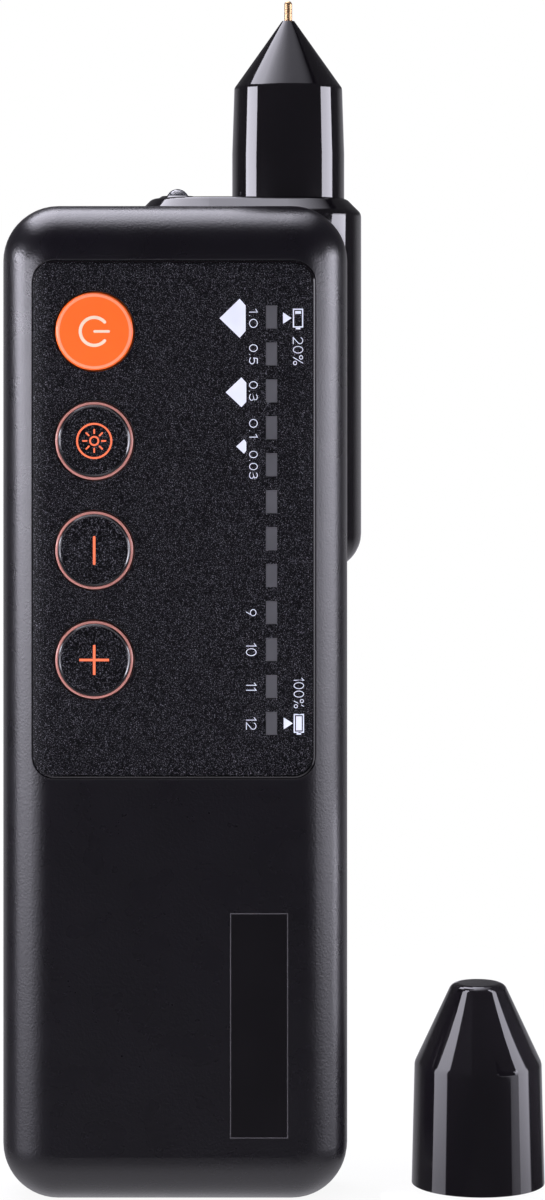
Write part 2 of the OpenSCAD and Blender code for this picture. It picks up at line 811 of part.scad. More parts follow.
module button_form(z, inlaid) {
    side = button_d / 2;
    flange = side + button_flange_w;
    stem = plunger_d / 2;
    edge = inlaid ? button_rim * rim_edge_share : button_edge_r;
    rim = round_corner([0, button_top], [side, button_top], [side, flange_front], edge);
    skirt = [
        [side, flange_front], [flange, flange_front], [flange, flange_back],
        [stem, flange_back], [stem, stem_end], [0, stem_end]
    ];
    behind_front(-button_x, z) difference() {
        rotate_extrude() polygon(concat([[0, button_top]], rim, skirt));
        if (inlaid) {
            translate([0, 0, button_top - cut])
                cylinder(d = button_d - 2 * button_rim, h = inlay_t + cut);
        }
    }
}

module inlay_form(z) {
    r = button_d / 2 - button_rim - seat_gap;
    behind_front(-button_x, z) translate([0, 0, button_top]) {
        cylinder(r1 = r - inlay_bevel_w, r2 = r, h = inlay_bevel_t);
        translate([0, 0, inlay_bevel_t]) cylinder(r = r, h = inlay_t - inlay_bevel_t);
    }
}

module switch_form(z) {
    behind_front(-button_x, z) difference() {
        translate([-switch_w / 2, -switch_w / 2, switch_front]) cube([switch_w, switch_w, switch_h]);
        translate([0, 0, switch_front - cut])
            cylinder(d = plunger_d + 4 * running_gap, h = plunger_pocket - switch_front + cut);
    }
}

module plunger_form(z) {
    behind_front(-button_x, z) translate([0, 0, stem_end])
        cylinder(d = plunger_d, h = plunger_back - stem_end);
}

module power_button() { color([1, 0.4, 0.1]) button_form(button_z[0], false); }
module uv_button() { color([1, 0.4, 0.1]) button_form(button_z[1], true); }
module minus_button() { color([1, 0.4, 0.1]) button_form(button_z[2], true); }
module plus_button() { color([1, 0.4, 0.1]) button_form(button_z[3], true); }
module uv_button_inlay() { color([0.1, 0.1, 0.11]) inlay_form(button_z[1]); }
module minus_button_inlay() { color([0.1, 0.1, 0.11]) inlay_form(button_z[2]); }
module plus_button_inlay() { color([0.1, 0.1, 0.11]) inlay_form(button_z[3]); }
module power_switch() { color([0.2, 0.2, 0.2]) switch_form(button_z[0]); }
module uv_switch() { color([0.2, 0.2, 0.2]) switch_form(button_z[1]); }
module minus_switch() { color([0.2, 0.2, 0.2]) switch_form(button_z[2]); }
module plus_switch() { color([0.2, 0.2, 0.2]) switch_form(button_z[3]); }
module power_plunger() { color([0.7, 0.7, 0.65]) plunger_form(button_z[0]); }
module uv_plunger() { color([0.7, 0.7, 0.65]) plunger_form(button_z[1]); }
module minus_plunger() { color([0.7, 0.7, 0.65]) plunger_form(button_z[2]); }
module plus_plunger() { color([0.7, 0.7, 0.65]) plunger_form(button_z[3]); }

// Board and the parts on it

module main_board() {
    color([0.05, 0.35, 0.15]) difference() {
        translate([0, y_board_back, board_foot + board_h / 2]) rotate([90, 0, 0])
            linear_extrude(board_t) rounded_rect(board_w, board_h, board_r);
        for (p = screw_places) {
            bar_y(p[0], p[1], stub_d + 2 * screw_gap, y_board_front - cut, y_board_back + cut);
        }
        translate([-socket_w / 2 - socket_gap, y_board_front - cut, board_foot - cut]) cube([
            socket_w + 2 * socket_gap, board_t + 2 * cut, socket_len + seat_gap - board_foot + cut
        ]);
    }
}

module led_chips() {
    color([0.9, 0.9, 0.8]) for (z = light_z) {
        translate([light_x - emitter_w / 2, y_board_front - emitter_h, z - emitter_w / 2])
            cube([emitter_w, emitter_h, emitter_w]);
    }
}

module controller_chip() {
    color([0.12, 0.12, 0.12]) on_board_back(-button_x, button_z[3], controller_w, controller_w, chip_h);
}

module amplifier_chip() {
    color([0.12, 0.12, 0.12]) on_board_back(0, button_z[2], amplifier_w, amplifier_w, chip_h);
}

module charger_chip() {
    color([0.12, 0.12, 0.12]) on_board_back(
        socket_w / 2 + charger_w, board_foot + charger_w, charger_w, charger_w, chip_h
    );
}

module buzzer() {
    color([0.15, 0.15, 0.15]) bar_y(
        -button_x, (button_z[1] + button_z[2]) / 2, buzzer_d, y_board_back, y_board_back + buzzer_h
    );
}

// Battery

module battery_cell() {
    color([0.75, 0.77, 0.8]) translate([0, y_battery_mid, battery_z]) linear_extrude(battery_h)
        rounded_rect(battery_w, battery_t, battery_edge_r);
}

module battery_pad() {
    inset = 2 * battery_edge_r;
    color([0.3, 0.3, 0.3]) translate([inset / 2 - battery_w / 2, y_battery_back, battery_z + inset / 2])
        cube([battery_w - inset, battery_pad_t, battery_h - inset]);
}

module battery_leads() {
    color([0.7, 0.1, 0.1]) for (side = [-1, 1]) {
        translate([side * lead_pitch / 2, y_plug_mid, battery_top])
            cylinder(d = lead_d, h = battery_lead_len);
    }
}

module battery_connector() {
    color([0.9, 0.88, 0.8]) on_board_back(0, battery_plug_foot + plug_z / 2, plug_w, plug_z, plug_y);
}

// Charging socket

module usb_shell() {
    inner_w = socket_w - 2 * socket_wall;
    inner_t = socket_t - 2 * socket_wall;
    color([0.75, 0.75, 0.77]) translate([0, y_part, 0]) difference() {
        linear_extrude(socket_len) round_bar(socket_w, socket_t);
        translate([0, 0, -cut]) linear_extrude(socket_len - socket_wall + cut) round_bar(inner_w, inner_t);
    }
}

module usb_tongue() {
    root = socket_len - socket_wall;
    color([0.1, 0.1, 0.1]) translate([0, y_part, root - tongue_len / 2])
        cube([tongue_w, tongue_t, tongue_len], center = true);
}

// Probe

module probe_barrel() {
    seat = barrel_d / 2;
    neck = [barrel_neck_d / 2, shoulder_z];
    seat_end = [seat, column_top + barrel_seat_h];
    nose = [nose_d / 2, nose_z];
    outer = concat(
        [[0, spigot_end], [spigot_d / 2, spigot_end], [spigot_d / 2, column_top]],
        [[seat, column_top], seat_end],
        round_corner(seat_end, neck, nose, barrel_shoulder_r),
        [nose, [0, nose_z]]
    );
    color([0.04, 0.04, 0.045]) on_probe(0) difference() {
        rotate_extrude() polygon(outer);
        translate([0, 0, spigot_end - cut]) cylinder(d = barrel_bore_d, h = bore_end - spigot_end + cut);
        translate([0, 0, bore_end - cut]) cylinder(d = bush_d + 2 * seat_gap, h = bush_len + cut);
        translate([0, 0, bore_end]) cylinder(d = nose_bore_d, h = nose_z - bore_end + cut);
    }
}

module barrel_nut() {
    color([0.6, 0.6, 0.6]) difference() {
        probe_tube(nut_d, spigot_d + 2 * seat_gap, column_ceiling - nut_h, column_ceiling);
        on_probe(column_ceiling - nut_h) cube([2 * nut_d, nut_slot_w, nut_h], center = true);
    }
}

module guide_sleeve() {
    color([0.8, 0.65, 0.3]) probe_tube(sleeve_d, sleeve_bore_d, spring_foot, bore_end);
}

module tip_bush() {
    color([0.9, 0.9, 0.88]) probe_tube(bush_d, bush_bore_d, bore_end, bush_top);
}

module probe_tip() {
    r = needle_d / 2;
    dome = round_corner([r, needle_foot], [r, needle_end], [0, needle_end], r * needle_dome_share);
    color([0.8, 0.5, 0.3]) on_probe(0) rotate_extrude()
        polygon(concat([[0, needle_end], [0, needle_foot], [r, needle_foot]], dome));
}

module probe_carrier() {
    color([0.85, 0.82, 0.75]) difference() {
        probe_tube(carrier_d, needle_d + 2 * seat_gap, carrier_foot, carrier_top);
        on_probe(carrier_foot - cut) cylinder(d = carrier_bore_d, h = hollow_top - carrier_foot + cut);
    }
}

module heater_sleeve() {
    color([0.95, 0.95, 0.9])
        probe_tube(heater_d, needle_d + 2 * seat_gap, hollow_top - heater_len, hollow_top);
}

module thermistor_bead() {
    color([0.2, 0.25, 0.4]) on_probe(needle_foot - bead_len) cylinder(d = bead_d, h = bead_len);
}

module probe_spring() {
    color([0.7, 0.7, 0.72]) on_probe(spring_foot)
        polyhedron(points = coil_points, faces = concat(coil_walls, coil_ends));
}

module probe_plug() {
    color([0.2, 0.2, 0.22]) on_probe(plug_foot) cylinder(d = sleeve_d, h = plug_len);
}

module probe_leads() {
    bend_z = plug_foot - lead_drop;
    y_mid = probe_y - probe_bend_r;
    color([0.75, 0.75, 0.7]) for (side = [-1, 1]) {
        x = probe_x + side * lead_pitch / 2;
        translate([x, probe_y, bend_z]) cylinder(d = lead_d, h = plug_foot - bend_z);
        lead_bend(x, y_mid, bend_z, probe_bend_r, lead_d, -90);
        lead_bend(x, y_mid, bend_z - 2 * probe_bend_r, probe_bend_r, lead_d, 90);
    }
}

module probe_connector() {
    color([0.9, 0.88, 0.8]) on_board_back(probe_x, probe_plug_top - plug_z / 2, plug_w, plug_z, plug_y);
}

// Ultraviolet lamp

module uv_lamp() {
    r = lamp_d / 2;
    flange = r + lamp_flange_w;
    dome = [for (i = [0 : arc_steps])
        [r * cos(90 * i / arc_steps), lamp_centre_z + r * sin(90 * i / arc_steps)]];
    outline = concat(
        [[0, lamp_foot], [flange, lamp_foot], [flange, column_ceiling], [r, column_ceiling]], dome
    );
    color([0.8, 0.85, 0.95]) translate([lamp_x, probe_y, 0]) rotate_extrude() polygon(outline);
}

module uv_lamp_leads() {
    bend_z = lamp_lead_z + lamp_bend_r;
    y_bend = probe_y - lamp_bend_r;
    color([0.75, 0.75, 0.77]) for (side = [-1, 1]) {
        x = lamp_x + side * lamp_lead_pitch / 2;
        translate([x, probe_y, bend_z]) cylinder(d = lamp_lead_d, h = lamp_foot - bend_z);
        lead_bend(x, y_bend, bend_z, lamp_bend_r, lamp_lead_d, -90);
        bar_y(x, lamp_lead_z, lamp_lead_d, y_board_back, y_bend);
    }
}

// Cap

module cap() {
    mouth = [cap_d / 2, 0];
    shoulder = [cap_shoulder_d / 2, cap_shoulder_h];
    rim = [cap_top_d / 2, cap_h];
    outer = concat(
        [[0, 0], mouth],
        round_corner(mouth, shoulder, rim, cap_shoulder_r),
        round_corner(shoulder, rim, [0, cap_h], cap_top_r),
        [[0, cap_h]]
    );
    cone_foot = cap_shoulder_h - cap_top_wall;
    hollow = [
        [0, cap_bore_len], [cap_neck_d / 2, cap_bore_len], [cap_neck_d / 2, cone_foot],
        [cap_inner_top_d / 2, cap_hollow_h], [0, cap_hollow_h]
    ];
    color([0.05, 0.05, 0.055]) translate([cap_x, cap_y, 0]) difference() {
        rotate_extrude() polygon(outer);
        translate([0, 0, -cut]) cylinder(d = cap_bore_d, h = cap_bore_len + cut);
        rotate_extrude() polygon(hollow);
    }
}

front_housing();
rear_housing();
housing_screws();
panel_overlay();
blank_label();
light_pipe();
led_chips();
main_board();
power_button();
uv_button();
minus_button();
plus_button();
uv_button_inlay();
minus_button_inlay();
plus_button_inlay();
power_switch();
uv_switch();
minus_switch();
plus_switch();
power_plunger();
uv_plunger();
minus_plunger();
plus_plunger();
controller_chip();
amplifier_chip();
charger_chip();
buzzer();
battery_cell();
battery_pad();
battery_leads();
battery_connector();
usb_shell();
usb_tongue();
probe_barrel();
barrel_nut();
guide_sleeve();
tip_bush();
probe_tip();
probe_carrier();
heater_sleeve();
thermistor_bead();
probe_spring();
probe_plug();
probe_leads();
probe_connector();
uv_lamp();
uv_lamp_leads();
cap();
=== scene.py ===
"""Looks of the handheld stone tester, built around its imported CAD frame."""
import json
import math
from collections import namedtuple

import bmesh
import bpy
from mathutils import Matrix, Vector


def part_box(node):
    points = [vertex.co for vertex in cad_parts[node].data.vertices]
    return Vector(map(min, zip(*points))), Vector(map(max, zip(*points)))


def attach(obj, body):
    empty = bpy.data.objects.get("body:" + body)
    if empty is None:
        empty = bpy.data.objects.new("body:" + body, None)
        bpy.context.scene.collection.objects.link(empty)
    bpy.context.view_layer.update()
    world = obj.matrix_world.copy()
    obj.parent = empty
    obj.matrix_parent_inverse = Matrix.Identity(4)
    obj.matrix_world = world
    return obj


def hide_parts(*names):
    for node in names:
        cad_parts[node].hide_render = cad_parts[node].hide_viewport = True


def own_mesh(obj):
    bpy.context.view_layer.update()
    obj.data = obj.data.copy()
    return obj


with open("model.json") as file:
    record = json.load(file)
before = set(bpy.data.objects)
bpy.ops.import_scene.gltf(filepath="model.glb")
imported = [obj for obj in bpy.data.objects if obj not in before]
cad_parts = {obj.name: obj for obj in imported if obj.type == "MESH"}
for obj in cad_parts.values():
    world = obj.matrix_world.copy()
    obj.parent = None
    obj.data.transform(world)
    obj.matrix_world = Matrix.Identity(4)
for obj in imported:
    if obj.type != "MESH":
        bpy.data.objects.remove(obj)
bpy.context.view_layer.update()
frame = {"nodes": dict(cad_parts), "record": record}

MM = 0.001

# Sizes shared with the CAD source, in millimetres
Y_FRONT = -9.65
FRONT_EDGE_R = 6.3
FLAT_HALF_W = 15.4
OVERLAY_SINK = 0.15
OVERLAY_HALF_W = 17.6
OVERLAY_Z = (53.5, 117.9)
OVERLAY_R = 2.75
OVERLAY_GAP = 0.15
BUTTON_X = -9.9
BUTTON_Z = (109.1, 95.48, 81.86, 68.24)
BUTTON_TOP_Y = -9.9
LIGHT_TOP_Z = 110.9
LIGHT_PITCH = 4.6
LABEL_X = (7.05, 14.15)
LABEL_Z = (8.75, 36.65)
SCREWS = ((-15.9, 9.0), (15.9, 9.0), (-15.9, 116.0), (15.9, 49.9))
SCREW_D = 2.2
SCREW_HEAD_D = 4.2
SCREW_HEAD_Y = (3.95, 5.35)
SPRING_FOOT = Vector((14.3, 7.15, 124.75))
SPRING_LEN = 6.9
SPRING_D = 4.9
SPRING_WIRE = 0.5
SPRING_TURNS = 5


# Materials

def map_range(tree, source, start, stop, low, high):
    """Output that goes from low to high as the source goes from start to stop."""
    node = tree.nodes.new("ShaderNodeMapRange")
    for key, value in (("From Min", start), ("From Max", stop), ("To Min", low), ("To Max", high)):
        node.inputs[key].default_value = value
    tree.links.new(source, node.inputs["Value"])
    return node.outputs["Result"]


def math_node(tree, operation, *sources):
    """Output of a calculation on sockets and plain numbers."""
    node = tree.nodes.new("ShaderNodeMath")
    node.operation = operation
    for source, socket in zip(sources, node.inputs):
        if isinstance(source, bpy.types.NodeSocket):
            tree.links.new(source, socket)
        else:
            socket.default_value = source
    return node.outputs["Value"]


class Paint:
    """A procedural material: its noises are in the piece's own coordinates, with sizes in millimetres."""

    def __init__(self, name, colour, roughness, metallic=0.0, **sockets):
        self.material = bpy.data.materials.new(name)
        self.material.use_nodes = True
        self.tree = self.material.node_tree
        self.bsdf = next(n for n in self.tree.nodes if n.type == "BSDF_PRINCIPLED")
        self.bsdf.inputs["Base Color"].default_value = (*colour, 1)
        self.bsdf.inputs["Roughness"].default_value = roughness
        self.bsdf.inputs["Metallic"].default_value = metallic
        for socket, value in sockets.items():
            self.bsdf.inputs[socket.replace("_", " ")].default_value = value
        self.place = self.tree.nodes.new("ShaderNodeTexCoord")
        self.normal = None

    def noise(self, size, detail=2.0, rough=0.5, stretch=(1, 1, 1)):
        """Noise whose features are about size millimetres across."""
        mapping = self.tree.nodes.new("ShaderNodeMapping")
        mapping.inputs["Scale"].default_value = stretch
        self.tree.links.new(self.place.outputs["Object"], mapping.inputs["Vector"])
        node = self.tree.nodes.new("ShaderNodeTexNoise")
        node.inputs["Scale"].default_value = 1 / (size * MM)
        node.inputs["Detail"].default_value = detail
        node.inputs["Roughness"].default_value = rough
        self.tree.links.new(mapping.outputs["Vector"], node.inputs["Vector"])
        return node.outputs["Fac"]

    def facing(self, start, stop):
        """1 where the surface looks straight to the front, falling to 0 as it turns away."""
        parts = self.tree.nodes.new("ShaderNodeSeparateXYZ")
        self.tree.links.new(self.place.outputs["Normal"], parts.inputs["Vector"])
        return map_range(self.tree, parts.outputs["Y"], -start, -stop, 0, 1)

    def colour(self, fac, *stops):
        """Base colour from a ramp of (place, colour) stops."""
        node = self.tree.nodes.new("ShaderNodeValToRGB")
        elements = node.color_ramp.elements
        while len(elements) < len(stops):
            elements.new(0.5)
        for element, (at, colour) in zip(elements, stops):
            element.position = at
            element.color = (*colour, 1)
        self.tree.links.new(fac, node.inputs["Fac"])
        self.tree.links.new(node.outputs["Color"], self.bsdf.inputs["Base Color"])
        return self

    def vary(self, socket, fac, low, high, start=0.25, stop=0.75):
        """One of the shader's inputs, which goes from low to high with fac."""
        self.tree.links.new(map_range(self.tree, fac, start, stop, low, high), self.bsdf.inputs[socket])
        return self

    def bump(self, fac, height):
        """Bump of that height in millimetres, on top of the bumps before it."""
        node = self.tree.nodes.new("ShaderNodeBump")
        node.inputs["Distance"].default_value = height * MM
        self.tree.links.new(fac, node.inputs["Height"])
        if self.normal:
            self.tree.links.new(self.normal, node.inputs["Normal"])
        self.normal = node.outputs["Normal"]
        self.tree.links.new(self.normal, self.bsdf.inputs["Normal"])
        return self


def shade(colour, share):
    """The colour made darker or lighter."""
    return tuple(c * share for c in colour)


def moulded(name, colour, roughness, grain=0.22, height=0.006, vary=0.12, **sockets):
    """Moulded plastic: a fine grain, slow changes of tone and a little handling polish."""
    p = Paint(name, colour, roughness, **sockets)
    p.colour(p.noise(9.0, 3.0), (0.3, shade(colour, 1 - vary)), (0.7, shade(colour, 1 + vary)))
    p.vary("Roughness", p.noise(4.0, 4.0), roughness * 0.92, roughness * 1.08)
    return p.bump(p.noise(grain), height).material


def metal(name, colour, roughness, brush):
    """Metal with fine marks, drawn out along the axes where brush is small."""
    p = Paint(name, colour, roughness, 1.0)
    streak = p.noise(0.3, 3.0, 0.6, brush)
    p.colour(streak, (0.3, shade(colour, 0.85)), (0.7, colour))
    p.vary("Roughness", streak, roughness * 0.85, roughness * 1.2)
    return p.bump(streak, 0.002).material


FILM_BLACK = (0.0022, 0.0020, 0.0034)
FILM_GRAIN = 0.107
FILM_ROUGH, EDGE_ROUGH = 0.32, 0.16
FILM_GLOSS, EDGE_GLOSS = 0.13, 0.5
FILM_FACING = 0.922, 0.934


def speckled(name, speck):
    """Black film with a fine bright speck, polished where it turns over at a bevelled edge."""
    p = Paint(name, FILM_BLACK, FILM_ROUGH, Specular_IOR_Level=FILM_GLOSS)
    flat = p.facing(*FILM_FACING)
    specks = math_node(p.tree, "MULTIPLY", p.noise(FILM_GRAIN, 1.5, 0.6), flat)
    p.colour(specks, (0.47, shade(FILM_BLACK, 0.3)), (0.595, FILM_BLACK), (0.70, speck))
    p.vary("Roughness", flat, EDGE_ROUGH, FILM_ROUGH, 0, 1)
    p.vary("Specular IOR Level", flat, EDGE_GLOSS, FILM_GLOSS, 0, 1)
    return p.bump(specks, 0.03).material


def foil(name, colour):
    """Creased metal foil."""
    p = Paint(name, colour, 0.3, 0.9)
    crease = p.noise(3.0, 5.0, 0.6)
    p.vary("Roughness", crease, 0.22, 0.42)
    return p.bump(crease, 0.12).material


def clear(name, colour):
    """Clear moulded resin."""
    p = Paint(name, colour, 0.04, IOR=1.5, Transmission_Weight=0.9)
    p.vary("Roughness", p.noise(1.5), 0.02, 0.07)
    return p.bump(p.noise(0.8), 0.002).material


POLISHED_BLACK = (0.0046, 0.0040, 0.0050)
MATTE = moulded(
    "matte_black", (0.0020, 0.0013, 0.0032), 0.28, grain=0.28, height=0.024, Specular_IOR_Level=0.6
)
GLOSS = moulded("gloss_black", POLISHED_BLACK, 0.05, grain=2.5, height=0.002)
PANEL = speckled("panel_black", (0.198, 0.195, 0.216))
INLAY = speckled("inlay_black", (0.170, 0.168, 0.188))
LABEL = moulded(
    "label_black", (0.0032, 0.0026, 0.0036), 0.30, grain=0.5, height=0.002, Specular_IOR_Level=0.3
)
ORANGE = moulded("orange", (0.89, 0.128, 0.012), 0.22, grain=0.4, height=0.002, vary=0.03)
RIM = moulded("rim_orange", (0.41, 0.175, 0.142), 0.20, grain=0.4, height=0.002, vary=0.05)
# Pale orange on the power key's rounded edge: a painted highlight, where that edge would catch the light
ORANGE_PAINTED_HIGHLIGHT = moulded("orange_painted_highlight", (0.90, 0.27, 0.13), 0.25, grain=0.4, height=0.002, vary=0.03)
BEVEL = moulded("bevel_black", POLISHED_BLACK, 0.20, height=0.001, Specular_IOR_Level=0.8)
WINDOW = moulded("window_grey", (0.060, 0.060, 0.064), 0.5, grain=0.3, height=0.004)
EMITTER = moulded("emitter_white", (0.80, 0.80, 0.66), 0.4)
BOARD = moulded("board_green", (0.02, 0.16, 0.06), 0.35, grain=0.5, height=0.01)
CHIP = moulded("chip_black", (0.012, 0.012, 0.012), 0.5, grain=0.15, height=0.01)
SWITCH = moulded("switch_grey", (0.05, 0.05, 0.05), 0.45)
PLUNGER = moulded("plunger_grey", (0.45, 0.44, 0.40), 0.45)
CONNECTOR = moulded("connector_white", (0.75, 0.72, 0.62), 0.4)
FOIL = foil("cell_foil", (0.62, 0.64, 0.67))
FOAM = moulded("foam_grey", (0.09, 0.09, 0.09), 0.9, grain=0.4, height=0.08, vary=0.3)
LEAD_RED = moulded("lead_red", (0.45, 0.02, 0.02), 0.4)
LEAD_GREY = moulded("lead_grey", (0.42, 0.42, 0.40), 0.4)
STEEL = metal("steel", (0.62, 0.62, 0.64), 0.3, (1, 1, 6))
COPPER = metal("copper", (0.56, 0.36, 0.20), 0.40, (8, 8, 1))
BRASS = metal("brass", (0.72, 0.52, 0.22), 0.28, (1, 1, 8))
BUSH = moulded("bush_white", (0.80, 0.80, 0.77), 0.4)
LAMP = clear("lamp_clear", (0.60, 0.62, 0.67))
WHITE_INK = moulded("white_ink", (0.66, 0.69, 0.76), 0.5, grain=0.12, height=0.004, vary=0.05)
CREAM_INK = moulded("cream_ink", (0.76, 0.58, 0.40), 0.45, grain=0.12, height=0.004, vary=0.05)
ORANGE_INK = moulded("orange_ink", (0.90, 0.17, 0.06), 0.4, grain=0.12, height=0.004, vary=0.05)
# Near-black and barely reflecting: painted shade, laid in the panel's gap and inside its lip
SHADE_BLACK = moulded("painted_shade_black", (0.0008, 0.0007, 0.0010), 0.9, Specular_IOR_Level=0.05)
FRAME_INK = moulded("frame_ink", (0.055, 0.052, 0.056), 0.45, grain=0.12, height=0.004)

SLOT_PAINT = {
    "matte_black": MATTE, "gloss_black": GLOSS, "panel_black": PANEL, "label_black": LABEL,
    "orange": ORANGE, "inlay_black": INLAY, "window_grey": WINDOW, "emitter_white": EMITTER,
    "board_green": BOARD, "chip_black": CHIP, "switch_grey": SWITCH, "plunger_grey": PLUNGER,
    "connector_white": CONNECTOR, "cell_foil": FOIL, "foam_grey": FOAM, "lead_red": LEAD_RED,
    "lead_grey": LEAD_GREY, "steel": STEEL, "copper": COPPER, "brass": BRASS, "bush_white": BUSH,
    "lamp_clear": LAMP,
}
NODE_PAINT = {"uv_button": RIM, "minus_button": RIM, "plus_button": RIM}
for part in frame["record"]["subparts"]:
    slots = frame["nodes"][part["node"]].data.materials
    slots.clear()
    slots.append(NODE_PAINT.get(part["node"], SLOT_PAINT[part["material_slot"]]))


# Mesh helpers

def piece(name, vertices, faces, paint, body, smooth_below=35):
    """A mesh piece from points in millimetres, smooth except where its faces turn sharply."""
    mesh = bpy.data.meshes.new(name)
    mesh.from_pydata([Vector(v) * MM for v in vertices], [], faces)
    bm = bmesh.new()
    bm.from_mesh(mesh)
    bmesh.ops.recalc_face_normals(bm, faces=bm.faces)
    bm.to_mesh(mesh)
    bm.free()
    mesh.materials.append(paint)
    mesh.shade_smooth()
    mesh.set_sharp_from_angle(angle=math.radians(smooth_below))
    obj = bpy.data.objects.new(name, mesh)
    bpy.context.scene.collection.objects.link(obj)
    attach(obj, body)
    return obj


def strip(name, path, section, paint, body):
    """A closed strip along a closed path of (x, y, z) points on the front. Its section's points say how far
    outward and forward of the path they are."""
    n = len(section)
    vertices, faces = [], []
    for i, point in enumerate(path):
        j = (i + 1) % len(path)
        along = (Vector(path[j]) - Vector(path[i - 1])).normalized()
        outward = Vector((0, 1, 0)).cross(along).normalized()
        forward = outward.cross(along)
        vertices += [Vector(point) + outward * o + forward * f for o, f in section]
        faces += [(i * n + k, i * n + (k + 1) % n, j * n + (k + 1) % n, j * n + k) for k in range(n)]
    return piece(name, vertices, faces, paint, body, 50)


def turned(rings, turns):
    """Vertices and faces of a form about the Y axis, from its rings: each has a Y and a radius, which may be
    a rule for the radius at a turn. Both ends are closed."""
    vertices, faces = [], []
    for y, radius in rings:
        for a in turns:
            r = radius(a) if callable(radius) else radius
            vertices.append((r * math.cos(a), y, r * math.sin(a)))
    n = len(turns)
    for i in range(len(rings) - 1):
        for k in range(n):
            m = (k + 1) % n
            faces.append((i * n + k, i * n + m, (i + 1) * n + m, (i + 1) * n + k))
    faces.append(range(n))
    faces.append(range((len(rings) - 1) * n, len(rings) * n))
    return vertices, faces


def hoop(name, z, section, paint, body, steps=96):
    """A ring round the button at z. Its closed section has (radius, height over the button's top) points."""
    n = len(section)
    vertices, faces = [], []
    for i in range(steps):
        a = 2 * math.pi * i / steps
        vertices += [(BUTTON_X + r * math.cos(a), BUTTON_TOP_Y - h, z + r * math.sin(a)) for r, h in section]
        j = (i + 1) % steps
        faces += [(i * n + k, i * n + (k + 1) % n, j * n + (k + 1) % n, j * n + k) for k in range(n)]
    return piece(name, vertices, faces, paint, body)


def arc(x, z, r, start, stop, steps=24, tall=1.0):
    """Points of an arc, or of an ellipse's arc that is tall times as high."""
    turns = [math.radians(start + (stop - start) * i / steps) for i in range(steps + 1)]
    return [(x + r * math.cos(a), z + r * tall * math.sin(a)) for a in turns]


def rounded_outline(half_w, z0, z1, r, steps=10, rows=40):
    """Points round a rectangle with round corners, anticlockwise from the front, close together."""
    points = []
    right, left, high, low = half_w - r, r - half_w, z1 - r, z0 + r
    corners = (right, high, 0), (left, high, 90), (left, low, 180), (right, low, 270)
    for i, (x, z, start) in enumerate(corners):
        points += arc(x, z, r, start, start + 90, steps)
        next_x, next_z, begin = corners[(i + 1) % 4]
        here, there = Vector(points[-1]), Vector(arc(next_x, next_z, r, begin, begin, 1)[0])
        points += [tuple(here.lerp(there, k / rows)) for k in range(1, rows)]
    return points


def front_y(x, sink=0.0):
    """Y of the housing's front at x, or of a face sunk into it: flat, then rounded towards the side."""
    over = max(0.0, abs(x) - FLAT_HALF_W)
    r = FRONT_EDGE_R - sink
    return Y_FRONT + FRONT_EDGE_R - math.sqrt(r * r - over * over)


def panel_y(x):
    return front_y(x, OVERLAY_SINK)


def button_y(x):
    return BUTTON_TOP_Y


class Ink:
    """Thin closed plates gathered into one piece. Points are (x, z) in millimetres, seen from the front."""

    depth = 0.02

    def __init__(self, face_y):
        self.face_y = face_y
        self.vertices = []
        self.faces = []

    def layers(self, points):
        """Adds the points on the outer and the inner side, and returns where each begins."""
        outer = len(self.vertices)
        self.vertices += [(x, self.face_y(x) - self.depth, z) for x, z in points]
        self.vertices += [(x, self.face_y(x) + self.depth, z) for x, z in points]
        return outer, outer + len(points)

    def polygon(self, outline):
        n = len(outline)
        outer, inner = self.layers(outline)
        self.faces.append([outer + i for i in range(n)])
        self.faces.append([inner + i for i in reversed(range(n))])
        for i in range(n):
            j = (i + 1) % n
            self.faces.append((outer + i, inner + i, inner + j, outer + j))

    def ring(self, left, right):
        """A closed strip between two rows of points."""
        n = len(left)
        outer, inner = self.layers(list(left) + list(right))
        for i in range(n):
            j = (i + 1) % n
            self.faces.append((outer + i, outer + j, outer + n + j, outer + n + i))
            self.faces.append((inner + i, inner + n + i, inner + n + j, inner + j))
            self.faces.append((outer + i, inner + i, inner + j, outer + j))
            self.faces.append((outer + n + i, outer + n + j, inner + n + j, inner + n + i))

    def line(self, points, width, closed=False):
        """A line of that width along the points, with round ends where it is open."""
        points = [Vector(p) for p in points]
        n = len(points)
        rows = [], []
        for i, p in enumerate(points):
            before = points[i - 1] if i or closed else None
            after = points[(i + 1) % n] if i < n - 1 or closed else None
            u = (p - before).normalized() if before else (after - p).normalized()
            v = (after - p).normalized() if after else u
            mitre = Vector((-u.y - v.y, u.x + v.x)) * width / 2 / (1 + u.dot(v))
            rows[0].append(p + mitre)
            rows[1].append(p - mitre)
        if closed:
            self.ring(*rows)
            return
        outline = list(rows[1])
        for end, row in ((points[-1], rows[1]), (points[0], rows[0])):
            begin = row[-1] if end is points[-1] else row[0]
            start = math.degrees(math.atan2(begin.y - end.y, begin.x - end.x))
            outline += arc(end.x, end.y, width / 2, start, start + 180, 6)[1:-1]
            if end is points[-1]:
                outline += reversed(rows[0])
        self.polygon(outline)

    def circle(self, x, z, r, width):
        self.line(arc(x, z, r, 0, 360, 48)[:-1], width, True)

    def figures(self, words, x0, x1, z_top, z_foot, width=0.095):
        """Figures that read downwards, fitted to the box given."""
        across = sum(FIGURES[c][0] for c in words) + FIGURE_GAP * (len(words) - 1)
        tall, wide = x1 - x0 - width, (z_top - z_foot - width) / across
        at = 0.0
        for c in words:
            advance, lines = FIGURES[c]
            for points, closed in lines:
                placed = [(x0 + width / 2 + y * tall, z_top - width / 2 - (at + x) * wide) for x, y in points]
                self.line(placed, width, closed)
            at += advance + FIGURE_GAP

    def make(self, name, paint, body):
        return piece(name, self.vertices, self.faces, paint, body)


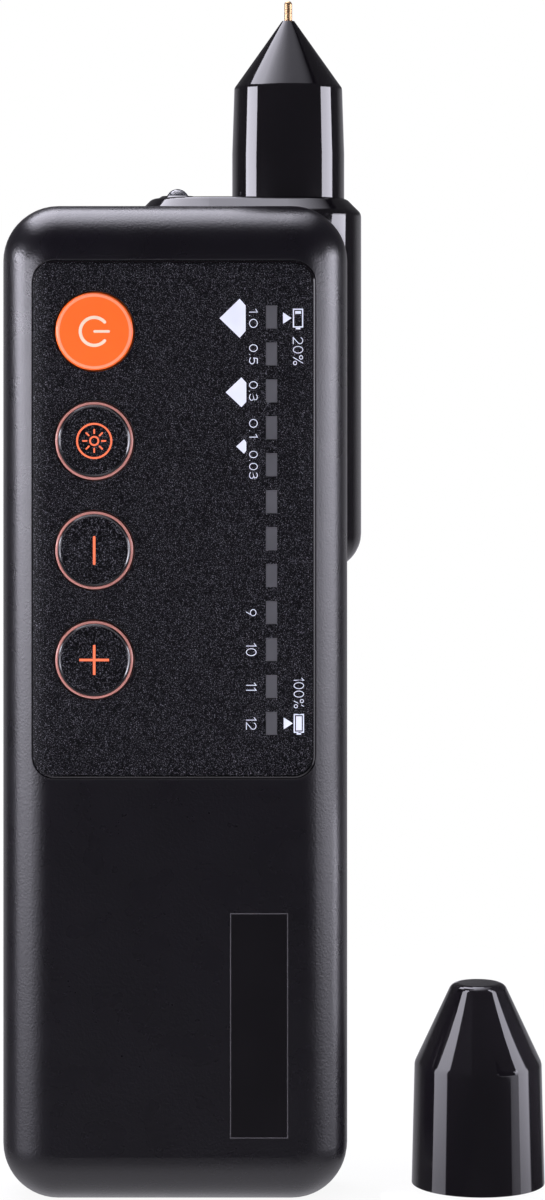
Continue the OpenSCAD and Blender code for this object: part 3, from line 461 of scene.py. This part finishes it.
# Plain figures, one unit high: each has its width and its lines, as points and whether the line is closed
FIGURE_GAP = 0.24
FIGURES = {
    "0": (0.62, [(arc(0.31, 0.5, 0.31, 0, 360, 24, 1.61)[:-1], True)]),
    "1": (0.22, [([(0.0, 0.80), (0.22, 1.0), (0.22, 0.0)], False)]),
    "2": (0.60, [(arc(0.30, 0.70, 0.29, 160, -35, 14) + [(0.0, 0.0), (0.60, 0.0)], False)]),
    "3": (0.60, [(
        arc(0.29, 0.76, 0.25, 150, -75, 12, 0.96) + arc(0.29, 0.27, 0.30, 75, -150, 12, 0.9), False
    )]),
    "5": (0.60, [(
        [(0.54, 1.0), (0.10, 1.0), (0.05, 0.54)] + arc(0.29, 0.32, 0.30, 125, -150, 14, 1.06), False
    )]),
    "9": (0.60, [(arc(0.30, 0.70, 0.29, 0, 360, 20)[:-1], True), ([(0.57, 0.60), (0.24, 0.0)], False)]),
    ".": (0.06, [([(0.03, 0.0), (0.03, 0.02)], False)]),
    "%": (0.86, [
        (arc(0.17, 0.81, 0.17, 0, 360, 14)[:-1], True), (arc(0.69, 0.19, 0.17, 0, 360, 14)[:-1], True),
        ([(0.70, 1.0), (0.16, 0.0)], False),
    ]),
}

# Prints on the control panel

def gem(ink, apex_x, girdle_x, table_x, z, girdle, table):
    """Cut stone on its side, from its apex to its table, with the half widths of its girdle and table."""
    ink.polygon([
        (apex_x, z), (girdle_x, z - girdle), (table_x, z - table),
        (table_x, z + table), (girdle_x, z + girdle),
    ])


def pointer(ink, x, z, length, half):
    """Triangle that points to the right, from x on."""
    ink.polygon([(x, z - half), (x + length, z), (x, z + half)])


def box(x, z, half_x, half_z):
    """Corners of a rectangle about a centre."""
    left, right, low, high = x - half_x, x + half_x, z - half_z, z + half_z
    return [(left, low), (right, low), (right, high), (left, high)]


# Battery sign, in half sizes: its case and the case's line, its nub and how far down that is, a full charge
CASE = 0.57, 1.1
CASE_LINE = 0.15
NUB = 0.28, 0.1
NUB_DROP = 1.3
CHARGE = 0.36, 0.88


def battery(ink, x, z, charge):
    """Battery sign that reads downwards, with its charge from 0 to 1."""
    wide, tall = CHARGE
    ink.line(box(x, z, *CASE), CASE_LINE, True)
    ink.polygon(box(x, z - NUB_DROP, *NUB))
    ink.polygon(box(x, z + tall * (1 - charge), wide, tall * charge))


# Stones as gem() takes them, weights with their top and foot, and window numbers with half of their length
GEMS = (
    (5.67, 8.18, 8.93, 110.74, 2.43, 1.58), (6.44, 8.40, 9.01, 101.53, 1.85, 1.19),
    (7.75, 8.72, 9.01, 94.78, 0.90, 0.52),
)
WEIGHTS_X = 9.36, 10.43
WEIGHTS = (
    ("1.0", 111.92, 109.55), ("0.5", 107.50, 105.00), ("0.3", 102.90, 100.46), ("0.1", 98.20, 95.90),
    ("0.03", 94.24, 90.75),
)
COUNTS_X = 8.97, 10.28
COUNTS = (8, "9", 0.45), (9, "10", 0.80), (10, "11", 0.50), (11, "12", 0.78)
EMPTY_Z, FULL_Z = 110.76, 60.32

prints = Ink(panel_y)
for row in GEMS:
    gem(prints, *row)
for words, z_top, z_foot in WEIGHTS:
    prints.figures(words, *WEIGHTS_X, z_top, z_foot)
pointer(prints, 13.58, EMPTY_Z, 1.06, 0.71)
pointer(prints, 13.66, FULL_Z, 1.15, 0.74)
battery(prints, 15.45, EMPTY_Z, 0.2)
prints.figures("20%", 14.80, 16.10, 108.40, 104.90)
battery(prints, 15.55, FULL_Z, 1.0)
prints.figures("100%", 14.90, 16.20, 66.00, 62.20)
for window, words, half in COUNTS:
    z = LIGHT_TOP_Z - LIGHT_PITCH * window
    prints.figures(words, *COUNTS_X, z + half, z - half)
prints.make("panel_prints", WHITE_INK, "housing")

# Signs on the buttons

SIGN_LINE = 0.32
POWER_R, POWER_LINE, POWER_OPENING = 1.74, 0.40, 42
POWER_BAR = 0.05, 1.80
SUN_R, SUN_LINE = 2.13, 0.24
SUN_DISC_R, SUN_DISC_LINE = 0.52, 0.22
SUN_RAYS, SUN_RAY_R, SUN_RAY_LINE = 8, (0.95, 1.40), 0.21
MINUS_ARM, PLUS_ARM = 1.65, 1.85

power_z, uv_z, minus_z, plus_z = BUTTON_Z

power = Ink(button_y)
power.line(arc(BUTTON_X, power_z, POWER_R, POWER_OPENING, 360 - POWER_OPENING, 40), POWER_LINE)
power.line([(BUTTON_X + end, power_z) for end in POWER_BAR], SIGN_LINE)
power.make("power_sign", CREAM_INK, "power_key")

sun = Ink(button_y)
sun.circle(BUTTON_X, uv_z, SUN_R, SUN_LINE)
sun.circle(BUTTON_X, uv_z, SUN_DISC_R, SUN_DISC_LINE)
for ray in range(SUN_RAYS):
    turn = 360 / SUN_RAYS * ray
    sun.line([arc(BUTTON_X, uv_z, r, turn, turn, 1)[0] for r in SUN_RAY_R], SUN_RAY_LINE)
sun.make("uv_sign", ORANGE_INK, "uv_key")

minus = Ink(button_y)
minus.line([(BUTTON_X, minus_z - MINUS_ARM), (BUTTON_X, minus_z + MINUS_ARM)], SIGN_LINE)
minus.make("minus_sign", ORANGE_INK, "minus_key")

plus = Ink(button_y)
arm, half = PLUS_ARM, SIGN_LINE / 2
plus.polygon([
    (BUTTON_X + x, plus_z + z) for x, z in (
        (arm, half), (half, half), (half, arm), (-half, arm), (-half, half), (-arm, half),
        (-arm, -half), (-half, -half), (-half, -arm), (half, -arm), (half, -half), (arm, -half),
    )
])
plus.make("plus_sign", ORANGE_INK, "plus_key")

# Rings on the buttons: a painted highlight in pale orange round the power button's edge, a polished bevel
# round each inlay

POWER_HIGHLIGHT_RING = [(4.30, -0.05), (4.33, 0.02), (4.50, 0.02), (4.66, -0.04), (4.66, -0.10)]
INLAY_BEVEL = [(4.20, -0.05), (4.20, 0.005), (4.35, 0.12), (4.50, -0.034), (4.50, -0.15)]
hoop("power_highlight_ring", power_z, POWER_HIGHLIGHT_RING, ORANGE_PAINTED_HIGHLIGHT, "power_key")
for key, z in (("uv", uv_z), ("minus", minus_z), ("plus", plus_z)):
    hoop(key + "_bevel", z, INLAY_BEVEL, BEVEL, key + "_key")

# Lines on the front

LABEL_LINE = 0.13
label_x0, label_x1 = LABEL_X
label_z0, label_z1 = LABEL_Z
label_line = Ink(front_y)
label_line.line(
    [(label_x0, label_z0), (label_x1, label_z0), (label_x1, label_z1), (label_x0, label_z1)], LABEL_LINE, True
)
label_line.make("label_frame", FRAME_INK, "housing")

# Round the panel: the recess's rounded rim, the film's raised lip, and painted shade: a near-black bead in
# the gap and a near-black line inside the lip
RIM_R = 0.07
ROUND = arc(0, 0, RIM_R, 0, 315, 7)
LIP = [(-0.22, -0.1), (-0.21, 0.20), (-0.02, 0.11), (-0.02, -0.1)]
# How far the lip and the painted shade line inside it sink as they turn into the left side
LIP_FLUSH = 0.32
# Inset and depth of the painted shade line inside the lip
SHADE_LINE_INSET, SHADE_LINE_DEPTH = 0.29, 0.05
for name, grow, sink, flush, section, paint, slot in (
    ("recess_rim", OVERLAY_GAP, 0.6 * RIM_R, 0.0, ROUND, MATTE, "matte_black"),
    ("panel_gap_shade", OVERLAY_GAP / 2, OVERLAY_SINK, 0.0, ROUND, SHADE_BLACK, "gloss_black"),
    ("panel_lip", 0.0, OVERLAY_SINK, LIP_FLUSH, LIP, GLOSS, "gloss_black"),
    ("panel_shade_line", -SHADE_LINE_INSET, OVERLAY_SINK + SHADE_LINE_DEPTH, LIP_FLUSH, ROUND, SHADE_BLACK, "gloss_black"),
):
    z0, z1 = OVERLAY_Z
    path = []
    for x, z in rounded_outline(OVERLAY_HALF_W + grow, z0 - grow, z1 + grow, OVERLAY_R + grow):
        left = max(0.0, OVERLAY_R - OVERLAY_HALF_W - x) / OVERLAY_R
        path.append((x, front_y(x, sink + flush * left), z))
    strip(name, path, section, paint, "housing")

# Screws in the back, with cross recesses

# The tip's taper, and the head's rounded edge as points below its top and in from its side
TIP_IN, TIP_UP = 0.4, 0.5
HEAD_EDGE = (0.45, 0.0), (0.15, 0.1), (0.0, 0.4)
CROSS_ARM = 1.15
CROSS_HALF_W = 0.32
CROSS_DEPTH = 0.8
CROSS_TAPER = 0.72
CROSS_STEP = 0.45
QUARTER = math.pi / 2


def cross(turn):
    """Radius of the cross recess's outline at a turn."""
    a = turn % QUARTER
    a = min(a, QUARTER - a)
    return min(CROSS_ARM / math.cos(a), CROSS_HALF_W / max(math.sin(a), 1e-6))


corner = math.atan2(CROSS_HALF_W, CROSS_ARM)
arm_turns = 0, corner, CROSS_STEP, QUARTER / 2, QUARTER - CROSS_STEP, QUARTER - corner
turns = [QUARTER * k + a for k in range(4) for a in arm_turns]
foot_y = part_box("housing_screws")[0][1] / MM
seat_y, top_y = SCREW_HEAD_Y
shank_r, head_r = SCREW_D / 2, SCREW_HEAD_D / 2
screw_rings = [
    (foot_y, shank_r - TIP_IN), (foot_y + TIP_UP, shank_r), (seat_y, shank_r), (seat_y, head_r),
    *((top_y - down, head_r - inward) for down, inward in HEAD_EDGE),
    (top_y, cross), (top_y - CROSS_DEPTH, lambda a: CROSS_TAPER * cross(a)),
]
vertices, faces = [], []
for x, z in SCREWS:
    form, form_faces = turned(screw_rings, turns)
    faces += [[len(vertices) + i for i in face] for face in form_faces]
    vertices += [(vx + x, vy, vz + z) for vx, vy, vz in form]
screws = piece("back_screws", vertices, faces, STEEL, "housing")
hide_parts("housing_screws")

# Spring behind the needle's carrier. The real one shortens as the needle goes in; this one is built at a
# single length

def coil(foot, length, diameter, wire, turns, rings=24, sides=10):
    """Vertices and faces of a round wire wound upwards from foot, with flat ends."""
    rise = length - wire
    lead = math.atan2(rise, math.pi * diameter * turns)
    count = turns * rings + 1
    vertices, faces = [], []
    for i in range(count):
        a = 2 * math.pi * i / rings
        out = Vector((math.cos(a), math.sin(a), 0))
        along = Vector((-math.sin(a) * math.cos(lead), math.cos(a) * math.cos(lead), math.sin(lead)))
        centre = foot + out * diameter / 2 + Vector((0, 0, wire / 2 + rise * i / (count - 1)))
        side = out.cross(along)
        turn = [2 * math.pi * k / sides for k in range(sides)]
        vertices += [centre + wire / 2 * (out * math.cos(t) + side * math.sin(t)) for t in turn]
    for i in range(count - 1):
        here, there = i * sides, (i + 1) * sides
        for k in range(sides):
            m = (k + 1) % sides
            faces.append((here + k, here + m, there + m, there + k))
    faces.append(range(sides))
    faces.append(range((count - 1) * sides, count * sides))
    return vertices, faces


vertices, faces = coil(SPRING_FOOT, SPRING_LEN, SPRING_D, SPRING_WIRE, SPRING_TURNS)
spring = piece("coil_spring", vertices, faces, STEEL, "housing", 50)
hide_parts("probe_spring")
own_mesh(spring)

# Stage, in metres: a pale floor, soft boxes round the object and behind the camera, and cards beside the cap

BOX_COLOUR = (0.98, 0.96, 1.09, 1)
ROOM_COLOUR = (0.99, 0.97, 1.05, 1)
FLOOR_COLOUR = (0.82, 0.82, 0.83, 1)
BOX_DISTANCE = 0.5
CARD_Z = -0.004, 0.045

# Along an axis, a light grows from a share of its strength at start to all of it at stop, by a power curve
Fade = namedtuple("Fade", "axis start stop share curve", defaults=[1.0])


def stage(name, corners, material):
    """A flat piece of the studio, which isn't part of the object."""
    mesh = bpy.data.meshes.new(name)
    mesh.from_pydata(corners, [], [range(len(corners))])
    mesh.materials.append(material)
    obj = bpy.data.objects.new(name, mesh)
    bpy.context.scene.collection.objects.link(obj)
    return obj


def bare_tree(owner):
    """The node tree of a new material or world, without nodes."""
    owner.use_nodes = True
    owner.node_tree.nodes.clear()
    return owner.node_tree


def new_nodes(tree, *kinds):
    """New shader nodes of these kinds, in this order."""
    return [tree.nodes.new("ShaderNode" + kind) for kind in kinds]


def soft_box(name, corners, strength, fades=()):
    """A flat light that isn't in the picture itself and shines from one side."""
    material = bpy.data.materials.new(name)
    tree = bare_tree(material)
    link = tree.links.new
    place, parts, side, glow = new_nodes(tree, "TexCoord", "SeparateXYZ", "NewGeometry", "Emission")
    pass_by, pick, out = new_nodes(tree, "BsdfTransparent", "MixShader", "OutputMaterial")
    link(place.outputs["Object"], parts.inputs["Vector"])
    glow.inputs["Color"].default_value = BOX_COLOUR
    glow.inputs["Strength"].default_value = strength
    level = strength
    for fade in fades:
        along = map_range(tree, parts.outputs[fade.axis], fade.start, fade.stop, 0, 1)
        left = map_range(tree, math_node(tree, "POWER", along, fade.curve), 0, 1, fade.share, 1)
        level = math_node(tree, "MULTIPLY", left, level)
    if fades:
        link(level, glow.inputs["Strength"])
    link(side.outputs["Backfacing"], pick.inputs["Fac"])
    link(glow.outputs["Emission"], pick.inputs[1])
    link(pass_by.outputs["BSDF"], pick.inputs[2])
    link(pick.outputs["Shader"], out.inputs["Surface"])
    obj = stage(name, corners, material)
    obj.visible_camera = False
    obj.visible_shadow = False
    return obj


def side_box(name, low, high, strength, top, foot=None, fades=()):
    """Upright soft box between two heights. Its top and its foot each span two turns, in degrees from the
    camera's direction. A foot that isn't given is as the top."""
    def place(turn, z):
        a = math.radians(turn)
        return BOX_DISTANCE * math.sin(a), -BOX_DISTANCE * math.cos(a), z

    foot = foot or top
    corners = [place(foot[0], low), place(top[0], high), place(top[1], high), place(foot[1], low)]
    soft_box(name, corners, strength, fades)


def cap_card(name, x, y_back, y_front, strength, fades):
    """Small upright card beside the cap."""
    low, high = CARD_Z
    corners = [(x, y_back, low), (x, y_back, high), (x, y_front, high), (x, y_front, low)]
    soft_box(name, corners, strength, fades)


UPPER_Z, SPLIT_Z, MIDDLE_Z, LOW_Z = 0.230, 0.140, -0.05, -0.22
LEFT_FADES = Fade("Z", -0.21, 0.17, 0.04, 3.0), Fade("Y", -0.46, -0.24, 0.0)
RIGHT_FADES = Fade("Z", -0.21, 0.17, 0.0, 2.0), Fade("Y", -0.43, -0.19, 0.0)
side_box("upper_box_left", SPLIT_Z, UPPER_Z, 12.6, (-97.5, -69.0))
side_box("upper_box_right", SPLIT_Z, UPPER_Z, 10.5, (74.0, 102.0))
side_box("lower_box_left", LOW_Z, SPLIT_Z, 16.0, (-90.0, -20.0), (-86.0, -36.0), LEFT_FADES)
side_box("middle_box_right", MIDDLE_Z, SPLIT_Z, 10.0, (34.0, 102.0), (42.0, 102.0), RIGHT_FADES)
side_box("lower_box_right", LOW_Z, MIDDLE_Z, 10.0, (60.0, 102.0), fades=RIGHT_FADES)

TOP_X, TOP_Y, TOP_Z = (-0.43, 0.36), (-0.2, 0.45), 0.64
soft_box(
    "top_box", [(TOP_X[i], TOP_Y[j], TOP_Z) for i, j in ((0, 0), (0, 1), (1, 1), (1, 0))], 6.6,
    [Fade("X", 0.32, -0.08, 0.0), Fade("Y", -0.14, 0.03, 0.2)]
)

FRONT_X, FRONT_LOW, FRONT_HIGH = 0.6, (-1.2, -0.1), (-1.0, 1.0)
front_box = soft_box("front_box", [
    (FRONT_X, *FRONT_LOW), (-FRONT_X, *FRONT_LOW), (-FRONT_X, *FRONT_HIGH), (FRONT_X, *FRONT_HIGH)
], 1.5)
front_box.visible_glossy = False

CARD_FADE = Fade("Z", 0.0, 0.04, 0.3)
cap_card("cap_card_left", 0.026, -0.0015, -0.05, 8.6, [CARD_FADE, Fade("Y", -0.0075, -0.0070, 0.021)])
cap_card("cap_card_right", 0.0495, -0.0040, 0.0060, 8.6, [CARD_FADE, Fade("Y", -0.0001, -0.0006, 0.021)])

# Dark flag that keeps the right box off the cap's shoulder
FLAG_NEAR, FLAG_FAR = (0.0485, -0.0145), (0.0885, -0.0215)
FLAG_TOP_Z, FLAG_NEAR_Z, FLAG_FAR_Z = 0.028, 0.0148, 0.0106
soft_box("dark_flag", [
    (*FLAG_NEAR, FLAG_NEAR_Z), (*FLAG_NEAR, FLAG_TOP_Z), (*FLAG_FAR, FLAG_TOP_Z), (*FLAG_FAR, FLAG_FAR_Z)
], 0.0)

# Floor: white to the camera, with a trace of the object's shadow near it
FLOOR_R = 0.35
SHADOW_REACH = 0.06, 0.2
NEAR_WHITE = 0.92
material = bpy.data.materials.new("floor")
tree = bare_tree(material)
link = tree.links.new
place, reach, ray = new_nodes(tree, "TexCoord", "VectorMath", "LightPath")
pale, white, mix, out = new_nodes(tree, "BsdfDiffuse", "Emission", "MixShader", "OutputMaterial")
reach.operation = "LENGTH"
pale.inputs["Color"].default_value = FLOOR_COLOUR
link(place.outputs["Object"], reach.inputs[0])
share = map_range(tree, reach.outputs["Value"], *SHADOW_REACH, NEAR_WHITE, 1.0)
link(math_node(tree, "MULTIPLY", ray.outputs["Is Camera Ray"], share), mix.inputs["Fac"])
link(pale.outputs["BSDF"], mix.inputs[1])
link(white.outputs["Emission"], mix.inputs[2])
link(mix.outputs["Shader"], out.inputs["Surface"])
floor = stage("floor", [(x, y, 0.0) for x, y in arc(0, 0, FLOOR_R, 0, 360, 48)[:-1]], material)
floor.visible_glossy = False

# Room: white to the camera, through clear pieces and straight behind, else dim, and lighter behind and below
DIM = 0.08
world = bpy.data.worlds.new("studio")
bpy.context.scene.world = world
tree = bare_tree(world)
link = tree.links.new
place, parts, ray = new_nodes(tree, "TexCoord", "SeparateXYZ", "LightPath")
room, white, mix, out = new_nodes(tree, "Background", "Background", "MixShader", "OutputWorld")
room.inputs["Color"].default_value = ROOM_COLOUR
white.inputs["Color"].default_value = (1, 1, 1, 1)
link(place.outputs["Generated"], parts.inputs["Vector"])
back, up = parts.outputs["Y"], parts.outputs["Z"]
level = map_range(tree, up, 0.09, 0.15, 1.0, 0.25)
behind = math_node(tree, "MULTIPLY", map_range(tree, back, 0.55, 0.78, DIM, 0.42), level)
below = map_range(tree, up, -0.18, -0.75, DIM, 1.0)
backdrop = map_range(tree, back, 0.982, 0.990, 0.0, 1.0)
strength = math_node(tree, "MAXIMUM", math_node(tree, "MAXIMUM", behind, below), backdrop)
link(strength, room.inputs["Strength"])
seen = math_node(tree, "MAXIMUM", ray.outputs["Is Camera Ray"], ray.outputs["Is Transmission Ray"])
link(seen, mix.inputs["Fac"])
link(room.outputs["Background"], mix.inputs[1])
link(white.outputs["Background"], mix.inputs[2])
link(mix.outputs["Shader"], out.inputs["Surface"])

# Camera
lens = bpy.data.cameras.new("camera")
lens.sensor_width = 36
lens.lens = 103.2
lens.shift_y = -0.191
lens.clip_start = 0.01
camera = bpy.data.objects.new("camera", lens)
bpy.context.scene.collection.objects.link(camera)
camera.location = (0.01227, -0.43765, 0.1042)
camera.rotation_euler = (math.radians(90), 0, 0)
bpy.context.scene.camera = camera
bpy.context.scene.view_settings.view_transform = "Standard"
